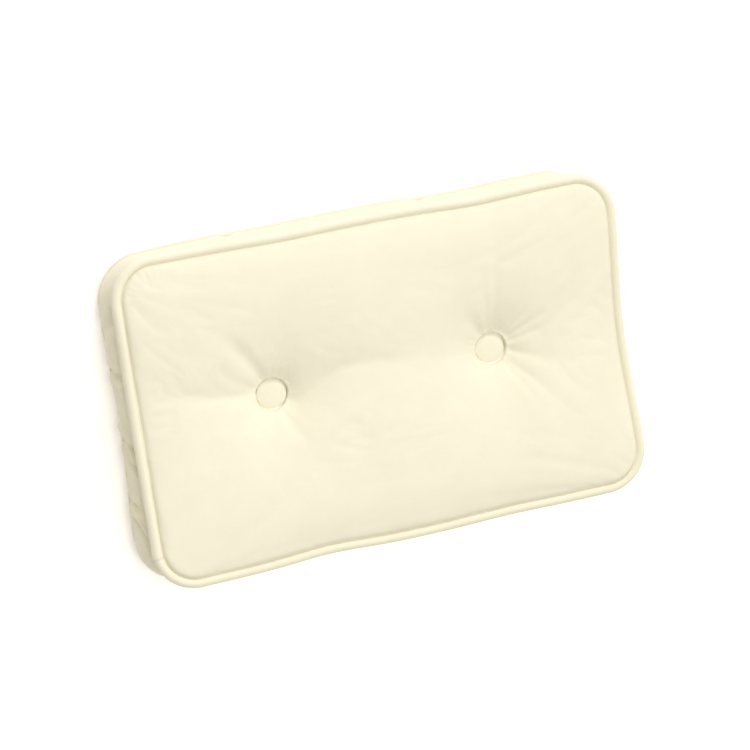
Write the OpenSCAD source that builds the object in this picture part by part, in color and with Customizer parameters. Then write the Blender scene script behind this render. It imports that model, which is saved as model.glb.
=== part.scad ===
// Boxed and buttoned chair pad: a piped fabric cover with a zip, a foam core between two layers of
// wadding, and two pairs of covered buttons laced through the filling.
// +X is the pad's width, +Y its depth away from the zip, +Z up. The origin is the centre of the
// flat underside that rests on the chair. All sizes are in millimetres.

/* [Pad] */
// Width over the piping
pad_w = 484; // [440:1:540]
// Depth over the piping
pad_d = 305; // [280:1:360]
// Height from the lower piping's centre to the upper piping's centre
boxing_h = 71; // [66:1:90]
// Corner radius over the piping
corner_r = 40; // [36:1:50]
// Height of the upper piping's centre above which the face panel crowns
crown_h = 16; // [10:1:20]

/* [Piping] */
// Diameter of the covered piping
welt_d = 7.8; // [7.4:0.1:8.2]
// Diameter of the filler cord inside it
welt_cord_d = 6; // [5:0.1:6]
// Width of the seam allowance that is sewn into the seam
seam_allowance = 12; // [10:0.5:13]

/* [Buttons] */
// Diameter of a covered button
button_d = 28.6; // [26:0.1:30]
// Distance between the two buttons of one face
button_pitch = 214; // [190:1:230]
// Distance of the buttons behind the pad's middle
button_offset = 5; // [0:1:10]
// Height of a button above its back
button_h = 6.2; // [6:0.1:7]
// Depth of the face panel's button hollow below the upper piping's centre
tuft_depth = 19; // [12:1:24]

/* [Zip] */
// Length of the zip's coils
zip_length = 380; // [320:1:384]
// Width of each zip tape
zip_tape_w = 14; // [12:0.5:16]
// Gap between the two fabric facings, where the zip shows
zip_gap = 12.8; // [12.4:0.1:14]
// Length of the pull tab from its pivot
pull_length = 26; // [20:1:30]

/* [Hidden] */
$fn = 48;

cover_tone = "cornsilk";
metal_tone = "silver";
cloth = 0.8;                       // thickness of the cover fabric
fit_gap = 0.1;                     // air between pieces that lie on each other
back_rise = 8;                     // lower piping's centre above the resting surface
low_z = back_rise;
high_z = back_rise + boxing_h;
mid_z = (low_z + high_z) / 2;
welt_r = welt_d / 2;
wall_inset = 5.5;                  // boxing's outer side, in from the piping's outer side
flange_end = welt_d + seam_allowance;
rim_inset = welt_d + 0.6;          // where a panel starts, just inside the piping
rim_rise = cloth * 2 + fit_gap;    // a panel's outer side at its rim, from the piping's centre
layer_gap = 0.7;                   // air between one soft layer and the next
wadding_inset = flange_end + 1.2;
core_inset = 10.8;                 // leaves room for the slider's inner plate
core_margin = 6.5;                 // foam face's distance from the piping's centre, at the rim

// ---- Soft layers: panels, wadding and foam share one inner grid, so they never cross ----
flat_rim = 0.9;                    // share of the panel's half width at which the crown begins
columns = 30;
rows = 20;
crown_power = 3;
rest_share = 2.5;                  // how fast the underside falls from its rim to the flat rest
tuft_flat_r = 26;                  // flat floor of a button hollow
tuft_outer_r = 64;                 // where the hollow meets the crown
panel_a = pad_w / 2 - rim_inset;
panel_b = pad_d / 2 - rim_inset;
function steps(n) = concat([-1], [for (i = [0:n]) flat_rim * (2 * i / n - 1)], [1]);
function clamp01(t) = min(1, max(0, t));
function smooth(t) = t * t * (3 - 2 * t);
function mix(a, b, t) = a * (1 - t) + b * t;

// A point of a rectangle, moved onto the rounded rectangle of the same half sizes a and b
function on_corner(x, y, a, b, r) =
    let (dx = abs(x) - (a - r), dy = abs(y) - (b - r))
    dx <= 0 || dy <= 0 ? [x, y] :
    let (pull = max(dx, dy) / norm([dx, dy]))
    [sign(x) * (a - r + dx * pull), sign(y) * (b - r + dy * pull)];
function rounded(inset) = corner_r - min(inset, corner_r / 2);
// A point of the grid: inner points belong to the panel's grid, the outermost ring to the layer's outline
function grid_point(u, v, inset) =
    let (m = max(abs(u), abs(v)))
    let (i = m < 1 ? rim_inset : inset, a = pad_w / 2 - i, b = pad_d / 2 - i)
    m == 0 ? [0, 0] : m * on_corner(u * a / m, v * b / m, a, b, rounded(i));

function tuft(p) =
    let (d = norm([abs(p[0]) - button_pitch / 2, p[1] - button_offset]))
    1 - smooth(clamp01((d - tuft_flat_r) / (tuft_outer_r - tuft_flat_r)));
function crown(p) =
    let (x = abs(p[0]) / (flat_rim * panel_a), y = abs(p[1]) / (flat_rim * panel_b))
    (1 - pow(clamp01(x), crown_power)) * (1 - pow(clamp01(y), crown_power));

button_shelter = 6;                // a back button stays this far above the resting surface
face_tuft_z = high_z - tuft_depth;
back_tuft_z = button_h + button_shelter;
core_compressed = 6;               // fabric and wadding between a button and the foam
function face_z(p) =
    let (rim = high_z + rim_rise)
    mix(rim + (crown_h - rim_rise) * crown(p), face_tuft_z, tuft(p));
function back_z(p) =
    let (rim = low_z - rim_rise)
    mix(max(0, rim * (1 - rest_share * crown(p))), back_tuft_z, tuft(p));
function core_top(p) = mix(high_z - core_margin, face_tuft_z - core_compressed, tuft(p));
function core_bottom(p) = mix(low_z + core_margin, back_tuft_z + core_compressed, tuft(p));

// A closed solid between two height surfaces over the same rounded rectangle
module layer(inset, upper, lower) {
    us = steps(columns);
    vs = steps(rows);
    nu = len(us);
    nv = len(vs);
    flat = [for (v = vs) for (u = us) grid_point(u, v, inset)];
    points = concat(
        [for (p = flat) [p[0], p[1], upper(p)]],
        [for (p = flat) [p[0], p[1], lower(p)]]
    );
    under = nu * nv;
    cells = [for (j = [0:nv - 2]) for (i = [0:nu - 2]) j * nu + i];
    rim = concat(
        [for (i = [0:nu - 2]) i],
        [for (j = [0:nv - 2]) j * nu + nu - 1],
        [for (i = [nu - 1:-1:1]) (nv - 1) * nu + i],
        [for (j = [nv - 1:-1:1]) j * nu]
    );
    faces = concat(
        [for (c = cells) [c, c + nu, c + nu + 1]],
        [for (c = cells) [c, c + nu + 1, c + 1]],
        [for (c = cells) [under + c, under + c + nu + 1, under + c + nu]],
        [for (c = cells) [under + c, under + c + 1, under + c + nu + 1]],
        [for (i = [0:len(rim) - 1]) let (s = rim[i], e = rim[(i + 1) % len(rim)]) [s, e, under + e]],
        [for (i = [0:len(rim) - 1]) let (s = rim[i], e = rim[(i + 1) % len(rim)]) [s, under + e, under + s]]
    );
    difference() {
        polyhedron(points, faces, convexity = 6);
        needle_holes();
    }
}

// The channels that the tufting needle leaves, one at each button
needle_r = 3.4;
module at_button(side, z) { translate([side * button_pitch / 2, button_offset, z]) children(); }
module needle_holes() {
    for (side = [-1, 1]) at_button(side, -1) cylinder(r = needle_r, h = high_z + crown_h + 2);
}

module face_panel() {
    color(cover_tone) layer(rim_inset, function(p) face_z(p), function(p) face_z(p) - cloth);
}
module back_panel() {
    color(cover_tone) layer(rim_inset, function(p) back_z(p) + cloth, function(p) back_z(p));
}
module face_wadding() {
    color("white")
        layer(wadding_inset, function(p) face_z(p) - cloth - layer_gap, function(p) core_top(p) + layer_gap);
}
module back_wadding() {
    color("white")
        layer(wadding_inset, function(p) core_bottom(p) - layer_gap, function(p) back_z(p) + cloth + layer_gap);
}
module foam_core() { color("khaki") layer(core_inset, function(p) core_top(p), function(p) core_bottom(p)); }

// ---- Edge: profiles are drawn with x = 0 at the piping's outer side and x negative inwards ----
module side_run(turn, reach, length) {
    rotate([0, 0, turn]) translate([reach, 0, 0]) rotate([90, 0, 0])
        linear_extrude(height = length, center = true) children();
}
module corner_turn(turn) {
    x = pad_w / 2 - corner_r;
    y = pad_d / 2 - corner_r;
    at = [[x, y], [-x, y], [-x, -y], [x, -y]][turn];
    translate([at[0], at[1], 0]) rotate([0, 0, 90 * turn])
        rotate_extrude(angle = 90) translate([corner_r, 0]) children();
}
side_x = pad_w - 2 * corner_r;     // straight length of a long side
side_y = pad_d - 2 * corner_r;     // straight length of a short side
module three_sides() {
    side_run(0, pad_w / 2, side_y) children();
    side_run(90, pad_d / 2, side_x) children();
    side_run(180, pad_w / 2, side_y) children();
}
module all_round() {
    three_sides() children();
    side_run(270, pad_d / 2, side_x) children();
    for (turn = [0:3]) corner_turn(turn) children();
}

module welt_cover(z) {
    color(cover_tone) all_round() {
        difference() {
            union() {
                translate([-welt_r, z]) circle(r = welt_r);
                translate([-flange_end, z - cloth]) square([seam_allowance + cloth, 2 * cloth]);
            }
            translate([-welt_r, z]) circle(r = welt_cord_d / 2 + fit_gap);
        }
    }
}
module welt_cord(z) { color("white") all_round() translate([-welt_r, z]) circle(r = welt_cord_d / 2); }

// The boxing's upper edge: the wall leans in under the piping and its allowance lies below the piping's
turn_in = rim_inset + 0.2;
lean_bend = 0.7;                   // height that the cloth takes for a bend
lean_start = welt_r + lean_bend;   // where the wall begins to lean in, from the piping's centre
lean_end = cloth + fit_gap + lean_bend;
lean_inner = lean_start + 0.6;
function wall_edge(z, way) = [
    [-wall_inset, z - way * lean_start],
    [-turn_in, z - way * lean_end],
    [-turn_in, z - way * (cloth + fit_gap)],
    [-flange_end, z - way * (cloth + fit_gap)],
    [-flange_end, z - way * (2 * cloth + fit_gap)],
    [-turn_in - cloth, z - way * (2 * cloth + fit_gap)],
    [-wall_inset - cloth, z - way * lean_inner]
];
function reversed(list) = [for (i = [len(list) - 1:-1:0]) list[i]];
module boxing_profile() { polygon(concat(wall_edge(high_z, 1), reversed(wall_edge(low_z, -1)))); }

end_tab = 2;                       // boxing's short return past each corner at the zip
module boxing_strip() {
    color(cover_tone) {
        three_sides() boxing_profile();
        for (turn = [0:3]) corner_turn(turn) boxing_profile();
        for (side = [-1, 1])
            translate([side * (side_x - end_tab) / 2, 0, 0]) side_run(270, pad_d / 2, end_tab) boxing_profile();
    }
}

// ---- Zip: it lies in the boxing's zip side, halfway up ----
zip_side = side_x - 2 * end_tab - 2 * fit_gap;
tape_inset = 8;                    // tape's outer side, in from the piping's outer side
tape_t = 0.6;
hem_w = 7;                         // folded width of a facing where it is sewn to the tape
module facing_profile(z, way) {
    edge = zip_gap / 2;
    hem = tape_inset - fit_gap;
    polygon(concat(
        wall_edge(z, way),
        [[-wall_inset - cloth, mid_z + way * (edge + hem_w)],
         [-hem, mid_z + way * (edge + hem_w)],
         [-hem, mid_z + way * edge],
         [-wall_inset, mid_z + way * edge]]
    ));
}
module zip_facing_upper() { color(cover_tone) side_run(270, pad_d / 2, zip_side) facing_profile(high_z, 1); }
module zip_facing_lower() { color(cover_tone) side_run(270, pad_d / 2, zip_side) facing_profile(low_z, -1); }

coil_gap = 1.4;                    // the slider's divider runs between the two coils
coil_w = 2.3;
coil_t = 2.1;
tape_end = 4;                      // tape past each end of the coils
module zip_tape(way) {
    color("ivory") side_run(270, pad_d / 2, zip_length + 2 * tape_end)
        translate([-tape_inset - tape_t, way > 0 ? mid_z + coil_gap / 2 : mid_z - coil_gap / 2 - zip_tape_w])
            square([tape_t, zip_tape_w]);
}
module zip_coil(way) {
    color("ivory") side_run(270, pad_d / 2, zip_length)
        translate([-tape_inset, way > 0 ? mid_z + coil_gap / 2 : mid_z - coil_gap / 2 - coil_w])
            square([coil_t, coil_w]);
}
slide_fit = 0.3;                   // air between the slider and what runs through it
stop_l = 2.5;
stop_t = coil_t + slide_fit;
module zip_stop_block(x, low, high) {
    translate([x, -pad_d / 2 + tape_inset - stop_t, mid_z + low]) cube([stop_l, stop_t, high - low]);
}
coil_edge = coil_gap / 2 + coil_w + slide_fit;
module zip_top_stops() {
    color(metal_tone) {
        zip_stop_block(zip_length / 2, coil_gap / 2, coil_edge);
        zip_stop_block(zip_length / 2, -coil_edge, -coil_gap / 2);
    }
}
module zip_bottom_stop() { color(metal_tone) zip_stop_block(-zip_length / 2 - stop_l, -coil_edge, coil_edge); }

slider_l = 12;
slider_w = 9.8;
plate_t = 1.2;
stop_gap = 0.5;
slider_x = zip_length / 2 - slider_l / 2 - stop_gap;  // shut, against the top stops
outer_plate = tape_inset - coil_t - slide_fit;        // inset of the outer plate's inner side
inner_plate = tape_inset + tape_t + slide_fit;        // inset of the inner plate's outer side
divider_w = 0.8;
divider_start = 1.5;
divider_l = 3;
rim_cut = 2.4;                     // the side rims stop this far from the slider's ends
rim_h = coil_t - slide_fit;
bridge_w = 2;
bridge_l = 8;
bridge_t = 1;
bridge_room = 2.2;                 // clear height under the bridge
module slider_block(x0, x1, inset0, inset1, half_w) {
    translate([slider_x + x0, -pad_d / 2 + inset0, mid_z - half_w])
        cube([x1 - x0, inset1 - inset0, 2 * half_w]);
}
module slider_plate(inset) {
    round_r = rim_cut;
    translate([slider_x, -pad_d / 2 + inset + plate_t, mid_z])
        rotate([90, 0, 0]) linear_extrude(height = plate_t) union() {
            square([slider_l, slider_w - 2 * round_r], center = true);
            square([slider_l - 2 * round_r, slider_w], center = true);
            for (x = [-1, 1]) for (y = [-1, 1])
                translate([x * (slider_l / 2 - round_r), y * (slider_w / 2 - round_r)]) circle(r = round_r);
        }
}
module zip_slider() {
    top = outer_plate - plate_t;
    under_bridge = top - bridge_room;
    bridge_end = bridge_l / 2;
    color(metal_tone) {
        slider_plate(top);
        slider_plate(inner_plate);
        slider_block(divider_start, divider_start + divider_l, outer_plate, inner_plate, divider_w / 2);
        for (way = [-1, 1])
            translate([slider_x - slider_l / 2 + rim_cut, -pad_d / 2 + outer_plate,
                       mid_z + (way > 0 ? coil_edge : -slider_w / 2)])
                cube([slider_l - 2 * rim_cut, rim_h, slider_w / 2 - coil_edge]);
        slider_block(-bridge_end, -bridge_end + bridge_t, under_bridge, top, bridge_w / 2);
        slider_block(bridge_end - bridge_t, bridge_end, under_bridge, top, bridge_w / 2);
        slider_block(-bridge_end, bridge_end, under_bridge - bridge_t, under_bridge, bridge_w / 2);
    }
}

pull_t = 1.2;
pull_w = 6.4;
pull_bar_r = 0.7;
pull_eye = 5;                      // from the pivot to the tab's solid part
pull_arm = 1;
pull_hole_r = 1.4;
pull_inset = outer_plate - plate_t - bridge_room / 2;
module pull_outline() {
    tip_r = pull_w / 2;
    difference() {
        union() {
            translate([-pull_length + tip_r, -pull_w / 2]) square([pull_length - tip_r, pull_w]);
            translate([-pull_length + tip_r, 0]) circle(r = tip_r);
        }
        translate([-pull_eye, -pull_w / 2 + pull_arm]) square([pull_eye + 1, pull_w - 2 * pull_arm]);
        translate([-pull_length + tip_r, 0]) circle(r = pull_hole_r);
    }
}
module zip_pull() {
    color(metal_tone) translate([slider_x, -pad_d / 2 + pull_inset, mid_z]) {
        translate([0, pull_t / 2, 0]) rotate([90, 0, 0]) linear_extrude(height = pull_t) pull_outline();
        cylinder(r = pull_bar_r, h = pull_w, center = true);
    }
}

// ---- Buttons: each stands on z = 0 of its own frame, dome upwards ----
button_r = button_d / 2;
skirt_h = 2;
button_cloth = 0.5;
shell_t = 0.5;
lip_w = 2.4;                       // cloth turned under the button's edge
back_t = 0.9;
shank_wire_r = 0.6;
shank_play = 0.15;
shank_r = 2.4;
shank_drop = 3;
module dome(r, top) {
    rise = top - skirt_h;
    ball_r = (r * r + rise * rise) / (2 * rise);
    intersection() {
        translate([0, top - ball_r]) circle(r = ball_r, $fn = 180);
        square([r, top]);
    }
}
module button_cover() {
    color(cover_tone) rotate_extrude() {
        difference() {
            dome(button_r, button_h);
            dome(button_r - button_cloth, button_h - button_cloth);
        }
        translate([button_r - lip_w, 0]) square([lip_w, button_cloth]);
    }
}
module button_shell() {
    r = button_r - button_cloth - fit_gap;
    color(metal_tone) rotate_extrude() difference() {
        dome(r, button_h - button_cloth - fit_gap);
        dome(r - shell_t, button_h - button_cloth - fit_gap - shell_t);
        square([r, button_cloth + fit_gap]);
    }
}
module button_back() {
    color(metal_tone) difference() {
        translate([0, 0, fit_gap]) cylinder(r = button_r - lip_w - 2 * fit_gap, h = back_t);
        for (x = [-1, 1]) translate([x * shank_r, 0, -back_t])
            cylinder(r = shank_wire_r + shank_play, h = 3 * back_t);
    }
}
module button_shank() {
    bar_z = fit_gap + back_t + shank_wire_r + fit_gap;
    bar_l = 2 * shank_r + shank_wire_r;
    color(metal_tone) {
        translate([0, 0, -shank_drop]) rotate([-90, 0, 0]) rotate_extrude(angle = 180)
            translate([shank_r, 0]) circle(r = shank_wire_r);
        for (x = [-1, 1])
            translate([x * shank_r, 0, -shank_drop]) cylinder(r = shank_wire_r, h = shank_drop + bar_z);
        translate([-bar_l / 2, 0, bar_z]) rotate([0, 90, 0]) cylinder(r = shank_wire_r, h = bar_l);
    }
}
module on_face(side) { at_button(side, face_tuft_z + fit_gap) children(); }
module on_back(side) { at_button(side, back_tuft_z - fit_gap) rotate([180, 0, 0]) children(); }

twine_r = 0.8;
twine_bend = 1.5;
knot_r = 2.6;
knot_rise = 7;                     // knot above the lower shank
module tufting_twine(side) {
    reach = shank_drop + shank_r - fit_gap;
    low = back_tuft_z + reach;
    high = face_tuft_z - reach;
    color("wheat") at_button(side, 0) {
        for (y = [-1, 1]) translate([0, y * twine_bend, low]) cylinder(r = twine_r, h = high - low);
        translate([0, 0, high]) rotate([90, 0, 90]) rotate_extrude(angle = 180)
            translate([twine_bend, 0]) circle(r = twine_r);
        translate([0, 0, low]) rotate([-90, 0, 90]) rotate_extrude(angle = 180)
            translate([twine_bend, 0]) circle(r = twine_r);
        translate([0, 0, low + knot_rise]) sphere(r = knot_r);
    }
}

face_panel();
back_panel();
boxing_strip();
zip_facing_upper();
zip_facing_lower();
welt_cover(high_z);  // face_welt_cover
welt_cord(high_z);  // face_welt_cord
welt_cover(low_z);  // back_welt_cover
welt_cord(low_z);  // back_welt_cord
foam_core();
face_wadding();
back_wadding();
zip_tape(1);  // zip_tape_upper
zip_tape(-1);  // zip_tape_lower
zip_coil(1);  // zip_coil_upper
zip_coil(-1);  // zip_coil_lower
zip_top_stops();
zip_bottom_stop();
zip_slider();
zip_pull();
on_face(-1) button_cover();  // face_left_button_cover
on_face(-1) button_shell();  // face_left_button_shell
on_face(-1) button_back();  // face_left_button_back
on_face(-1) button_shank();  // face_left_button_shank
on_face(1) button_cover();  // face_right_button_cover
on_face(1) button_shell();  // face_right_button_shell
on_face(1) button_back();  // face_right_button_back
on_face(1) button_shank();  // face_right_button_shank
on_back(-1) button_cover();  // back_left_button_cover
on_back(-1) button_shell();  // back_left_button_shell
on_back(-1) button_back();  // back_left_button_back
on_back(-1) button_shank();  // back_left_button_shank
on_back(1) button_cover();  // back_right_button_cover
on_back(1) button_shell();  // back_right_button_shell
on_back(1) button_back();  // back_right_button_back
on_back(1) button_shank();  // back_right_button_shank
tufting_twine(-1);  // left_tufting_twine
tufting_twine(1);  // right_tufting_twine
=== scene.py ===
"""A boxed, piped and button-tufted seat pad: fabric cover, foam and wadding, covered buttons and a zip."""

import math

import bpy
import numpy as np
from mathutils import Matrix, Vector, noise
from mathutils.bvhtree import BVHTree
from mathutils.geometry import delaunay_2d_cdt


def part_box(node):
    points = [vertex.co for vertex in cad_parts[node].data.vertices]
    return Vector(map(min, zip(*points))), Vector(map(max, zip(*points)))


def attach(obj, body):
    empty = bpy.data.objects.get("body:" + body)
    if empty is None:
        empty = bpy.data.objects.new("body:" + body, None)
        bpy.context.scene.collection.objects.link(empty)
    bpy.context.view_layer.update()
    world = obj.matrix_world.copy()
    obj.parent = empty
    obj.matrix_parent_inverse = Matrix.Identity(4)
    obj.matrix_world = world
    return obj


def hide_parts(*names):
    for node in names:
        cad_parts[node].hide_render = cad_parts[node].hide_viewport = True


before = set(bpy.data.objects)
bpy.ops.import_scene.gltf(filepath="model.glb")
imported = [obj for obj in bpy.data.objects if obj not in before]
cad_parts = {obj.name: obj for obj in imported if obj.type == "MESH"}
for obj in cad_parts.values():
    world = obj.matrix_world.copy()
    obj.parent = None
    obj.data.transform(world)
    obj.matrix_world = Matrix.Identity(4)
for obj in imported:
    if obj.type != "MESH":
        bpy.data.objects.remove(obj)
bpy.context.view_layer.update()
MM = 0.001


# ---- Sizes, read from the frame ----
def middle(node, axis):
    low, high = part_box(node)
    return (low[axis] + high[axis]) / 2


def extent(node, axis):
    low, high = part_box(node)
    return high[axis] - low[axis]


HALF_W = extent("face_welt_cover", 0) / 2
HALF_D = extent("face_welt_cover", 1) / 2
WELT_R = extent("face_welt_cover", 2) / 2
CORD_R = extent("face_welt_cord", 2) / 2
FACE_Z = middle("face_welt_cover", 2)
BACK_Z = middle("back_welt_cover", 2)
MID_Z = (FACE_Z + BACK_Z) / 2
HALF_H = (FACE_Z - BACK_Z) / 2
BUTTON_X = middle("face_right_button_cover", 0)
BUTTON_Y = middle("face_right_button_cover", 1)
BUTTON_R = extent("face_right_button_cover", 0) / 2
BUTTON_H = extent("face_right_button_cover", 2)
FACE_TUFT_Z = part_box("face_right_button_cover")[0].z
BACK_TUFT_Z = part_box("back_right_button_cover")[1].z
ZIP_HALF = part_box("zip_facing_upper")[1].x
ZIP_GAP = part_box("zip_facing_upper")[0].z - MID_Z
TAPE_HALF = extent("zip_tape_upper", 0) / 2
TAPE_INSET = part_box("zip_tape_upper")[0].y + HALF_D
TAPE_T = extent("zip_tape_upper", 1)
COIL_HALF = extent("zip_coil_upper", 0) / 2

CORNER_R = 40 * MM
CLOTH = 0.8 * MM
SEAM = 12 * MM
PANEL_INSET = 7.9 * MM
PANEL_RISE = 0.1 * MM
NEEDLE_R = 3.6 * MM


# ---- Small helpers ----
def smooth(t):
    t = np.clip(t, 0, 1)
    return t * t * (3 - 2 * t)


def wobble(points, scale, seed):
    """Smooth noise from -1 to 1 at each point, the same on every run."""
    shift = Vector((seed * 17.3, seed * 5.7, seed * 9.1))
    return np.array([noise.noise(Vector(p) / scale + shift) for p in points])


def add_object(name, data):
    made = bpy.data.objects.new(name, data)
    bpy.context.scene.collection.objects.link(made)
    return made


def plain_mesh(name, points, faces):
    mesh = bpy.data.meshes.new(name)
    mesh.from_pydata([tuple(p) for p in points], [], [tuple(f) for f in faces])
    return mesh


def add_mesh(name, points, faces, uv=None):
    """A smooth mesh that rides on the cushion; uv is each point's place on the cut cloth, in metres."""
    mesh = plain_mesh(name, points, faces)
    mesh.update()
    mesh.polygons.foreach_set("use_smooth", [True] * len(mesh.polygons))
    if uv is not None:
        layer = mesh.uv_layers.new(name="cloth")
        for loop in mesh.loops:
            layer.data[loop.index].uv = uv[loop.vertex_index]
    piece = add_object(name, mesh)
    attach(piece, "cushion")
    return piece


def finish_cloth(piece, node, thickness, flat, slot="cover_fabric", refined=True, **more):
    """Gives a cloth piece its thickness and hides the CAD part that it replaces; the flat size of the sheet
    it is cut from is not used.
    """
    solid = piece.modifiers.new("thickness", "SOLIDIFY")
    solid.thickness = thickness
    solid.offset = -1
    if refined:
        finer = piece.modifiers.new("finer", "SUBSURF")
        finer.levels = finer.render_levels = 1
        finer.use_limit_surface = False
    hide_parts(node)


def strip_faces(rows, count, closed_rows=False, closed_ring=True):
    """Quads of a skin of rows of equal size; it may join its last row to its first, and close each row."""
    faces = []
    for j in range(rows if closed_rows else rows - 1):
        a, b = j * count, ((j + 1) % rows) * count
        for i in range(count if closed_ring else count - 1):
            n = (i + 1) % count
            faces.append((a + i, b + i, b + n, a + n))
    return faces


def tube(centres, across, other, radius, sides, closed=False):
    """Points and faces of a round tube; an open one has a flat cap at each end."""
    points = []
    for c, a, b, r in zip(centres, across, other, np.broadcast_to(radius, len(centres))):
        for k in range(sides):
            t = 2 * math.pi * k / sides
            points.append(c + r * (math.cos(t) * a + math.sin(t) * b))
    faces = [(a, d, c, b) for a, b, c, d in strip_faces(len(centres), sides, closed_rows=closed)]
    if not closed:
        faces.append(tuple(reversed(range(sides))))
        faces.append(tuple(range(len(points) - sides, len(points))))
    return points, faces


def joined(parts):
    """The points and faces of several parts as one list of each."""
    points, faces = [], []
    for part_points, part_faces in parts:
        first = len(points)
        points.extend(part_points)
        faces.extend(tuple(first + k for k in face) for face in part_faces)
    return points, faces


# ---- The pad's outline ----
# How far the tufting draws the long seams in: side, place along it, depth, reach
SEAM_DIPS = (
    ("zip", -78 * MM, 3.4 * MM, 46 * MM),
    ("zip", 100 * MM, 1.2 * MM, 40 * MM),
    ("rear", 105 * MM, 2.4 * MM, 44 * MM),
    ("rear", -80 * MM, 1.2 * MM, 40 * MM),
)
RIGHT_PULL = 3.4 * MM
LEFT_FACE_PULL = 0.8 * MM
LEFT_BACK_PULL = 4.9 * MM
END_SAG = 6 * MM
BACK_REAR_PULL = 2.6 * MM
BACK_CORNER_PULL = 4.6 * MM


def drawn_in(xy, down):
    """Moves of plan points where the cover is drawn in; down is 0 at the face and 1 at the back."""
    x, y = xy[:, 0], xy[:, 1]
    near_end = smooth((np.abs(x) / HALF_W - 0.5) / 0.44)
    near_side = smooth((np.abs(y) / HALF_D - 0.4) / 0.52)
    middle_of_end = np.cos(np.pi / 2 * np.clip(y / (HALF_D - 0.7 * CORNER_R), -1, 1)) ** 2
    left_pull = LEFT_FACE_PULL + (LEFT_BACK_PULL - LEFT_FACE_PULL) * down
    dx = np.where(x < 0, left_pull, -RIGHT_PULL) * middle_of_end * near_end
    dip = np.zeros(len(xy))
    for side, place, depth, reach in SEAM_DIPS:
        on_side = y > 0 if side == "rear" else y < 0
        dip += np.where(on_side, depth * np.exp(-(((x - place) / reach) ** 2)), 0)
    dy = -np.sign(y) * dip * near_side
    rear_left = np.exp(-((np.hypot(x + HALF_W, y - HALF_D) / (75 * MM)) ** 2))
    dx = dx + down * BACK_CORNER_PULL * rear_left
    dy = dy - down * (BACK_CORNER_PULL * rear_left + BACK_REAR_PULL * np.where(y > 0, near_side, 0))
    return dx, dy, -END_SAG * middle_of_end * near_end * (1 - down)


class Outline:
    """Stations round the pad, anticlockwise from the low end of the right side."""

    def __init__(self, step, stops=()):
        x, y = HALF_W - CORNER_R, HALF_D - CORNER_R
        self.base, self.normal, self.zip_side = [], [], []
        self.straight((HALF_W, -y), (HALF_W, y), (1, 0), step)
        self.turn(x, y, 0, step)
        self.straight((x, HALF_D), (-x, HALF_D), (0, 1), step)
        self.turn(-x, y, math.pi / 2, step)
        self.straight((-HALF_W, y), (-HALF_W, -y), (-1, 0), step)
        self.turn(-x, -y, math.pi, step)
        edges = [-x, *stops, x]
        for a, b in zip(edges, edges[1:]):
            self.straight((a, -HALF_D), (b, -HALF_D), (0, -1), step, True)
        self.turn(x, -y, math.pi * 1.5, step)
        self.base, self.normal = np.array(self.base), np.array(self.normal)
        self.zip_side = np.array(self.zip_side)
        lengths = np.linalg.norm(np.roll(self.base, -1, 0) - self.base, axis=1)
        self.length = float(lengths.sum())
        self.along = np.concatenate([[0], np.cumsum(lengths)[:-1]])

    def add(self, point, normal, zip_side=False):
        self.base.append(point)
        self.normal.append(normal)
        self.zip_side.append(zip_side)

    def straight(self, start, end, normal, step, zip_side=False):
        count = max(1, round(math.dist(start, end) / step))
        start, end = np.array(start), np.array(end)
        for i in range(count):
            self.add(start + (end - start) * (i / count), normal, zip_side)

    def turn(self, cx, cy, start, step):
        count = max(6, round(CORNER_R * math.pi / 2 / step))
        for i in range(count):
            angle = start + math.pi / 2 * i / count
            normal = (math.cos(angle), math.sin(angle))
            self.add((cx + CORNER_R * normal[0], cy + CORNER_R * normal[1]), normal)

    def plan(self, inset):
        return self.base - self.normal * inset

    def ring(self, inset, z, down):
        xy = self.plan(inset)
        dx, dy, dz = drawn_in(self.base, down)
        return np.column_stack([xy[:, 0] + dx, xy[:, 1] + dy, z + dz])


def inset_of(xy):
    """How far plan points lie inside the pad's outline."""
    q = np.abs(xy) - np.array([HALF_W - CORNER_R, HALF_D - CORNER_R])
    outside = np.hypot(np.maximum(q[:, 0], 0), np.maximum(q[:, 1], 0))
    return CORNER_R - outside - np.minimum(np.maximum(q[:, 0], q[:, 1]), 0)


# ---- Folds of the face, pulled towards the buttons ----
# Side of the button, then the fold's path as angle and distance from the button, its depth, its width
# at the start and at the end, the share of its length that keeps the full depth, and whether it is sharp
FOLDS = (
    (-1, ((172, 12), (170, 60), (170, 95), (172, 126)), 2.5, 8, 9, 0.3, True),
    (-1, ((150, 12), (152, 62)), 1.5, 4, 7, 0, False),
    (-1, ((120, 12), (120, 45), (125, 95)), 2.4, 5, 10, 0.4, False),
    (-1, ((60, 12), (56, 30), (66, 70)), 0.9, 9, 16, 0.2, False),
    (-1, ((-70, 13), (-66, 72)), 1.6, 4, 9, 0, False),
    (-1, ((-146, 13), (-146, 72)), 1.2, 5, 10, 0, False),
    (-1, ((-32, 66), (-39, 113)), 1.3, 14, 16, 0.5, False),
    (1, ((-18, 13), (-19, 45), (-22, 90)), 2.4, 4, 10, 0, True),
    (1, ((-46, 13), (-46, 60), (-48, 100)), 2.0, 4, 9, 0.1, True),
    (1, ((-58, 13), (-58, 50), (-60, 84)), 1.2, 3, 6, 0.1, False),
    (1, ((14, 14), (15, 70)), 1.6, 2.2, 4.5, 0.1, False),
    (1, ((28, 14), (27, 74)), 1.9, 2.2, 4.5, 0.2, False),
    (1, ((42, 14), (42, 66)), 1.7, 2.2, 4.5, 0.1, False),
    (1, ((56, 14), (55, 58)), 1.5, 2.2, 4.5, 0.1, False),
    (1, ((71, 14), (70, 62)), 0.9, 2.6, 5, 0, False),
    (1, ((83, 14), (84, 132)), 0.9, 3, 6, 0.4, False),
    (1, ((98, 14), (95, 90)), 0.8, 3, 6, 0.3, False),
    (1, ((122, 14), (122, 64)), 1.9, 4, 10, 0, False),
)
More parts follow.
